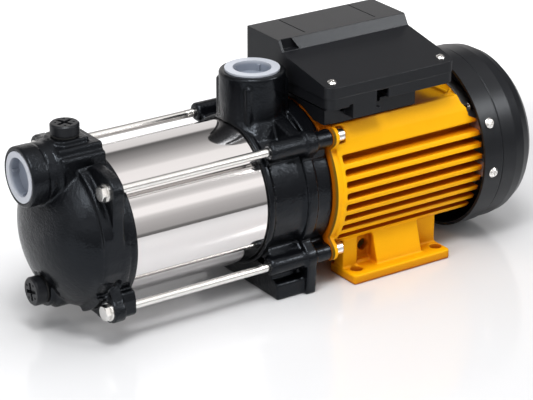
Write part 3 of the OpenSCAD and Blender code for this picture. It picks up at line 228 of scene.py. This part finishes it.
def black_casting():
    """Glossy black paint over sand-cast iron: near black in itself, sand grain under the gloss, painted shade
    in corners.
    """
    f = Finish.called("black_casting")
    sand = f.noise(1.5 * MM, 3.0, 0.65)
    lumps = f.noise(6 * MM, 2.0)
    patch = f.noise(30 * MM, 1.0).between(0.40, 0.62)
    height = sand * (0.20 + patch * 0.65) + lumps * 0.5
    # Painted shade: the base colour goes darker in gaps and corners, where light doesn't reach
    return f.surface(
        Base_Color=f.mix(f.painted_shade(9 * MM), rgb(0.0030, 0.0033, 0.0042), rgb(0.0008, 0.0008, 0.0010)),
        Roughness=0.12 + lumps * 0.10,
        Specular_IOR_Level=0.24, Specular_Tint=rgb(0.80, 0.89, 1.0),
        Normal=f.relief(height, 0.50 * MM, f.soft_edges(0.7 * MM)))


def black_plastic():
    """Black glass-filled nylon with a fine spark-eroded grain."""
    f = Finish.called("black_plastic")
    grain = f.noise(0.5 * MM, 2.0, 0.7)
    cloud = f.noise(18 * MM, 2.0)
    return f.surface(
        Base_Color=f.mix(cloud, rgb(0.0060, 0.0064, 0.0078), rgb(0.0085, 0.0090, 0.0108)),
        Roughness=0.27 + grain * 0.12,
        Specular_IOR_Level=0.26, Specular_Tint=rgb(0.92, 0.96, 1.0),
        Normal=f.relief(grain, 0.04 * MM, f.soft_edges(0.8 * MM)))


def frame_paint():
    """Yellow-orange enamel over die-cast aluminium, darker with painted shade where the light doesn't reach.

    The front edge of the flange, close by the black bracket, is painted dark as shade.
    """
    f = Finish.called("frame_paint")
    peel = f.noise(1.4 * MM, 2.0, 0.6)
    cloud = f.noise(25 * MM, 3.0)
    base = f.mix(cloud, rgb(0.90, 0.425, 0.0020), rgb(0.97, 0.475, 0.0035))
    along = f.node("ShaderNodeSeparateXYZ", {}, [f.place()]).out("X")
    # Painted shade on the flange's front edge, close by the black bracket
    flange_edge_shade = along.between(FLANGE_EDGE_X + 0.4 * MM, FLANGE_EDGE_X - 0.4 * MM)
    base = f.mix(flange_edge_shade, base, rgb(0.12, 0.066, 0.0030))
    # Painted shade: deeper orange-brown in gaps and corners, and under the terminal box, where light doesn't
    # reach
    return f.surface(
        Base_Color=f.mix(f.painted_shade(26 * MM), base, rgb(0.46, 0.105, 0.0008)),
        Roughness=0.38 + peel * 0.14,
        Specular_IOR_Level=0.09,
        Normal=f.relief(peel, 0.10 * MM, f.soft_edges(0.8 * MM)))


def mirror_stainless():
    """Barrel tube, polished to a mirror along its length."""
    f = Finish.called("mirror_stainless")
    draw = f.noise(1.2 * MM, 2.0, stretch=(0.02, 1.0, 1.0))
    cloud = f.noise(40 * MM, 2.0, stretch=(0.3, 1.0, 1.0))
    return f.surface(
        Base_Color=f.mix(cloud, rgb(0.70, 0.68, 0.675), rgb(0.74, 0.72, 0.715)),
        Metallic=1.0, Roughness=0.035 + draw * 0.05,
        Normal=f.relief(draw, 0.003 * MM))


def dust_cap(name, axis, face):
    """Milky plastic cap: pale on its flange, with painted shade, dim and bluish, in the recess behind its
    face.
    """
    f = Finish.called(name)
    along = f.node("ShaderNodeSeparateXYZ", {}, [f.place()]).out(axis)
    depth = (along - face) * (1.0 if axis == "X" else -1.0)
    # Painted shade: darker and bluish in the recess behind the face
    recess = depth.between(-0.6 * MM, 3.5 * MM)
    cloud = f.noise(9 * MM, 2.0)
    rim = f.mix(cloud, rgb(0.47, 0.49, 0.54), rgb(0.53, 0.55, 0.60))
    return f.surface(
        Base_Color=f.mix(recess, rim, rgb(0.21, 0.235, 0.285)),
        Roughness=0.26 + cloud * 0.10,
        Specular_IOR_Level=0.5,
        Normal=f.relief(cloud, 0.10 * MM, f.soft_edges(0.5 * MM)))


def plated(name, tone, rough):
    """Bright metal with a fine grain and slight clouds."""
    f = Finish.called(name)
    fine = f.noise(0.5 * MM, 2.0)
    cloud = f.noise(7 * MM, 2.0)
    light = rgb(*[min(1.0, c * 1.12) for c in tone])
    return f.surface(
        Base_Color=f.mix(cloud, rgb(*tone), light),
        Metallic=1.0, Roughness=rough + fine * 0.12,
        Normal=f.relief(fine, 0.02 * MM, f.soft_edges(0.25 * MM)))


def moulded(name, low, high, rough, grain_size, depth, **more):
    """Plain moulded or cast finish with a grain."""
    f = Finish.called(name)
    grain = f.noise(grain_size, 2.0, 0.6)
    cloud = f.noise(14 * MM, 2.0)
    return f.surface(
        Base_Color=f.mix(cloud, rgb(*low), rgb(*high)),
        Roughness=rough + grain * 0.12,
        Normal=f.relief(grain, depth, f.soft_edges(0.4 * MM)), **more)


def laminated_core():
    """Stack of thin electrical steel sheets, seen on edge."""
    f = Finish.called("laminated_core")
    x = f.node("ShaderNodeSeparateXYZ", {}, [f.place()]).out("X")
    sheets = (x * (2 * math.pi / (0.8 * MM))).math("SINE") * 0.5 + 0.5
    tone = f.noise(1.0 * MM, 1.0, stretch=(1.0, 0.1, 0.1))
    return f.surface(
        Base_Color=f.mix(tone, rgb(0.20, 0.20, 0.21), rgb(0.34, 0.33, 0.32)),
        Metallic=0.9, Roughness=0.38 + tone * 0.2,
        Normal=f.relief(sheets, 0.08 * MM))


def copper_winding():
    """Varnished copper wire, bound round the end of the stator."""
    f = Finish.called("copper_winding")
    wire = f.noise(1.1 * MM, 2.0, stretch=(1.0, 0.35, 0.35))
    return f.surface(
        Base_Color=f.mix(wire, rgb(0.26, 0.08, 0.02), rgb(0.60, 0.24, 0.07)),
        Roughness=0.30 + wire * 0.2, Metallic=0.35,
        Normal=f.relief(wire, 0.5 * MM))


FINISHES = {
    "cast_black": black_casting(),
    "frame_yellow": frame_paint(),
    "black_plastic": black_plastic(),
    "stainless_barrel": mirror_stainless(),
    "plated_steel": plated("bright_zinc", (0.72, 0.71, 0.69), 0.16),
    "stainless_sheet": plated("pressed_stainless", (0.60, 0.60, 0.60), 0.28),
    "shaft_steel": plated("ground_steel", (0.56, 0.56, 0.57), 0.22),
    "cap_plastic": dust_cap("suction_cap", "X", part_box("suction_port_cap")[0][0]),
    "core_steel": laminated_core(),
    "copper_winding": copper_winding(),
    "seal_rubber": moulded(
        "seal_rubber", (0.010, 0.010, 0.010), (0.018, 0.018, 0.018), 0.62, 0.5 * MM, 0.04 * MM),
    "ceramic": moulded(
        "seal_ceramic", (0.80, 0.78, 0.72), (0.86, 0.84, 0.79), 0.18, 0.5 * MM, 0.01 * MM),
    "carbon": moulded(
        "seal_carbon", (0.04, 0.04, 0.042), (0.07, 0.07, 0.073), 0.30, 0.4 * MM, 0.01 * MM),
    "moulded_impeller": moulded(
        "impeller_plastic", (0.66, 0.60, 0.46), (0.76, 0.70, 0.56), 0.38, 0.7 * MM, 0.03 * MM),
    "moulded_diffuser": moulded(
        "diffuser_plastic", (0.52, 0.54, 0.56), (0.62, 0.64, 0.66), 0.42, 0.7 * MM, 0.03 * MM),
    "cast_aluminium": moulded(
        "shield_aluminium", (0.48, 0.48, 0.49), (0.60, 0.60, 0.61), 0.38, 1.2 * MM, 0.12 * MM, Metallic=0.95),
    "fan_plastic": moulded(
        "fan_plastic", (0.030, 0.030, 0.033), (0.045, 0.045, 0.05), 0.45, 0.8 * MM, 0.03 * MM),
    "capacitor_can": moulded(
        "capacitor_can", (0.42, 0.43, 0.45), (0.52, 0.53, 0.55), 0.3, 1.0 * MM, 0.02 * MM),
    "terminal_plastic": moulded(
        "terminal_plastic", (0.68, 0.65, 0.56), (0.76, 0.73, 0.64), 0.4, 0.7 * MM, 0.02 * MM),
}


def paint(piece, finish):
    piece.data.materials.clear()
    piece.data.materials.append(finish)


for name, node in NODES.items():
    paint(node, FINISHES[SLOT_OF[name]])
paint(NODES["discharge_port_cap"], dust_cap("discharge_cap", "Z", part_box("discharge_port_cap")[1][2]))


# Castings and threads

def new_piece(name, mesh, finish):
    piece = bpy.data.objects.new(name, mesh)
    bpy.context.scene.collection.objects.link(piece)
    paint(piece, finish)
    return piece


def merged_copy(node):
    """The node's mesh in the pump's frame, with its doubled points joined."""
    mesh = node.data.copy()
    mesh.transform(node.matrix_world)
    work = bmesh.new()
    work.from_mesh(mesh)
    bmesh.ops.remove_doubles(work, verts=work.verts, dist=0.01 * MM)
    work.to_mesh(mesh)
    work.free()
    return mesh


def soft_casting(node_name, grain, rounds, most, calm=None):
    """A casting with the rounded edges and filled corners that a sand mould gives, in place of the sharp one.

    Grain is the mould's fineness, rounds how often it is smoothed and most the triangles that it may have.
    Where calm(point) holds, the skin is smoothed further, as on a turned pattern.
    """
    finish = FINISHES[SLOT_OF[node_name]]
    rough = new_piece(node_name + "_pattern", merged_copy(NODES[node_name]), finish)
    remesh = rough.modifiers.new("mould", "REMESH")
    remesh.mode = "VOXEL"
    remesh.voxel_size = grain
    rough = baked(rough)
    fillet = rough.modifiers.new("fillets", "SMOOTH")
    fillet.factor = 0.5
    fillet.iterations = rounds
    if calm:
        group = rough.vertex_groups.new(name="calm")
        group.add([v.index for v in rough.data.vertices if calm(v.co)], 1.0, "REPLACE")
        even = rough.modifiers.new("even", "SMOOTH")
        even.factor = 0.5
        even.iterations = DOME_ROUNDS
        even.vertex_group = "calm"
    count = sum(len(face.vertices) - 2 for face in rough.data.polygons)
    if count > most:
        fewer = rough.modifiers.new("fewer", "DECIMATE")
        fewer.ratio = most / count
    casting = baked(rough)
    casting.name = node_name + "_cast"
    casting.data.shade_smooth()
    stand_for(casting, node_name)


def baked(piece):
    """The piece with its modifiers applied, as a new plain object."""
    name, finish = piece.name, piece.data.materials[0]
    graph = bpy.context.evaluated_depsgraph_get()
    mesh = bpy.data.meshes.new_from_object(piece.evaluated_get(graph))
    bpy.data.objects.remove(piece)
    return new_piece(name, mesh, finish)


def stand_for(piece, node_name):
    """The piece rides with the pump and takes the node's place."""
    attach(piece, "pump")
    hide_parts(node_name)


def on_dome(point):
    """Open face of the suction casing's dome, clear of its neck, its drain boss and its lugs."""
    x, y, z = point
    if x >= DOME_X or z >= DOME_TOP:
        return False
    return math.hypot(y, z - SHAFT_H) < DOME_RADIUS and math.hypot(y, z - DRAIN_H) > DRAIN_CLEAR


def rolled_thread(name, y, z):
    """The turns of a rolled thread that show on a tie bolt where it enters its boss."""
    around = 24
    steps = int((THREAD_END - THREAD_START) / THREAD_PITCH * around)
    half = 0.42 * THREAD_PITCH
    points = []
    for i in range(steps + 1):
        turn = 2 * math.pi * i / around
        x = THREAD_START + THREAD_PITCH * i / around
        for offset, reach in ((-half, THREAD_ROOT), (0.0, THREAD_CREST), (half, THREAD_ROOT)):
            points.append((x + offset, y + reach * math.cos(turn), z + reach * math.sin(turn)))
    faces = []
    for i in range(steps):
        for a in (3 * i, 3 * i + 1):
            faces.append((a, a + 1, a + 4, a + 3))
    mesh = bpy.data.meshes.new(name)
    mesh.from_pydata(points, [], faces)
    mesh.shade_smooth()
    thread = new_piece(name, mesh, FINISHES["plated_steel"])
    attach(thread, "pump")


soft_casting("suction_casing", 0.8 * MM, 5, 190000, on_dome)
soft_casting("discharge_casing", 0.85 * MM, 4, 190000)
soft_casting("motor_frame", 0.8 * MM, 2, 195000)

for side, y in (("near", -TIE_ASIDE), ("far", TIE_ASIDE)):
    for level, z in (("low", SHAFT_H - TIE_RISE), ("high", SHAFT_H + TIE_RISE)):
        rolled_thread("thread_%s_%s" % (side, level), y, z)


# Studio

def look_at(obj, target):
    away = obj.location - Vector(target)
    obj.rotation_euler = away.to_track_quat("Z", "Y").to_euler()


def set_camera():
    camera = bpy.data.objects.new("camera", bpy.data.cameras.new("camera"))
    bpy.context.scene.collection.objects.link(camera)
    camera.location = CAMERA_AT
    look_at(camera, CAMERA_LOOKS_AT)
    camera.data.sensor_fit = "HORIZONTAL"
    camera.data.sensor_width = CAMERA_SENSOR
    camera.data.lens = CAMERA_LENS
    camera.data.clip_start = 0.05
    bpy.context.scene.camera = camera


def softbox(name, place, aim, width, height, power, in_gloss=True, in_matt=True):
    """A rectangular lamp, by its place, what it lights, its size in metres and its power in watts.

    Gloss mirrors it and matt surfaces catch its light, unless one of these is switched off.
    """
    light = bpy.data.lights.new(name, "AREA")
    light.shape = "RECTANGLE"
    light.size = width
    light.size_y = height
    light.energy = power
    obj = bpy.data.objects.new(name, light)
    bpy.context.scene.collection.objects.link(obj)
    obj.location = place
    look_at(obj, aim)
    obj.visible_glossy = in_gloss
    obj.visible_diffuse = in_matt


def set_world():
    """White to the camera. Metal and gloss see a studio: a dark table edge, a warm wall and softboxes.

    Its bands lie round the pump's length, each as an angle with a brightness: 0 is level on the near side,
    90 straight up and 180 level on the far side.
    """
    world = bpy.data.worlds.new("studio")
    bpy.context.scene.world = world
    world.use_nodes = True
    f = Finish(world.node_tree)
    way = f.node("ShaderNodeTexCoord").out("Generated")
    apart = f.node("ShaderNodeSeparateXYZ", {}, [way])
    angle = apart.out("Z").math("ARCTAN2", apart.out("Y") * -1.0)
    share = angle * (0.5 / math.pi) + 0.5
    table = [(-180, 0.62), (-22, 0.62), (-15, 0.58), (-13, 0.12), (-8, 0.14)]
    wall = [(-6, 0.34), (0, 0.37), (10, 0.45), (17, 0.60)]
    low_softbox = [(21, 0.92), (31, 0.93), (35, 0.66), (39, 0.56)]
    high_softbox = [(44, 0.56), (48, 0.80), (51, 0.97), (62, 0.97)]
    ceiling = [(72, 0.88), (93, 0.85), (98, 0.62), (106, 0.50), (119, 0.30), (141, 0.11), (144, 0.14)]
    rear_wall = [(149, 0.64), (165, 0.68), (180, 0.66)]
    bands = table + wall + low_softbox + high_softbox + ceiling + rear_wall
    stops = [((up + 180.0) / 360.0, [light * warm for warm in WARMTH]) for up, light in bands]
    glossy = f.node("ShaderNodeValToRGB", {"stops": stops}, [share]).out("Color")
    right = apart.out("X").between(0.60, 0.85)
    glossy = f.mix(right, glossy, rgb(0.10, 0.10, 0.105))
    light_path = f.node("ShaderNodeLightPath")
    camera = light_path.out("Is Camera Ray")
    shiny = light_path.out("Is Glossy Ray").math("MAXIMUM", light_path.out("Is Transmission Ray"))
    strength = shiny * (GLOSS_LIGHT - SOFT_LIGHT) + SOFT_LIGHT
    strength = camera * (1.0 - strength) + strength
    soft = f.mix(shiny, rgb(0.96, 0.98, 1.0), glossy)
    colour = f.mix(camera, soft, rgb(1.0, 1.0, 1.0))
    back = f.node("ShaderNodeBackground", {}, {"Color": colour, "Strength": strength})
    f.node("ShaderNodeOutputWorld", {}, {"Surface": back.out("Background")})


def set_floor():
    """A glossy white table with a painted glow to the camera, brighter far from the pump. Gloss doesn't
    mirror it past its near edge.
    """
    mesh = bpy.data.meshes.new("floor")
    mesh.from_pydata(TABLE_CORNERS, [], [(0, 1, 2, 3)])
    floor = bpy.data.objects.new("floor", mesh)
    bpy.context.scene.collection.objects.link(floor)
    floor.location.z = -TABLE_GAP
    f = Finish.called("white_table")
    light_path = f.node("ShaderNodeLightPath")
    near = f.node("ShaderNodeSeparateXYZ", {}, [f.place()]).out("Y") * -1.0
    past_edge = near.between(TABLE_EDGE - 0.01, TABLE_EDGE + 0.01) * light_path.out("Is Glossy Ray")
    away = f.node("ShaderNodeVectorMath", {"operation": "LENGTH"}, [f.place()]).out("Value")
    # Painted glow, seen by the camera only, makes the table brighter far from the pump and behind it
    camera_glow = away.between(0.28, 0.95) * 0.75 + near.between(-0.05, -0.35) * 0.5
    camera_glow = camera_glow * light_path.out("Is Camera Ray")
    table = f.node("ShaderNodeBsdfPrincipled", {}, {
        "Base Color": rgb(0.74, 0.74, 0.75), "Roughness": 0.13, "Specular IOR Level": 0.5,
        "Emission Color": f.mix(camera_glow, rgb(0.0, 0.0, 0.0), rgb(1.0, 1.0, 1.0)), "Emission Strength": 1.0})
    clear = f.node("ShaderNodeBsdfTransparent")
    both = f.node("ShaderNodeMixShader", {}, [past_edge, table.out("BSDF"), clear.out("BSDF")])
    f.node("ShaderNodeOutputMaterial", {}, {"Surface": both.out("Shader")})
    floor.data.materials.append(f.material)


set_camera()
set_world()
set_floor()
softbox("key", (-0.45, -0.60, 1.40), (-0.08, 0, 0.08), 0.50, 0.40, 13)
softbox("spot", (-0.25, -0.20, 1.30), (-0.10, 0, 0.08), 0.14, 0.14, 1.4)
softbox("strip", (-0.95, -0.45, 0.95), (-0.15, 0, 0.08), 0.10, 0.45, 2.0)
softbox("top", (0.1, 0.1, 1.6), (0, 0, 0.08), 1.6, 0.9, 10, in_gloss=False)
softbox("left", (-1.5, -0.5, 0.6), (-0.15, 0, 0.08), 0.7, 0.7, 6, in_gloss=False)
softbox("right", (1.0, -1.1, 0.7), (0.05, 0, 0.08), 0.7, 0.9, 4.5, in_gloss=False)
softbox("sheen", (0.66, -0.68, 0.73), (0.03, 0, 0.145), 0.36, 0.26, 4.2, in_matt=False)
bpy.context.scene.view_settings.view_transform = "Standard"
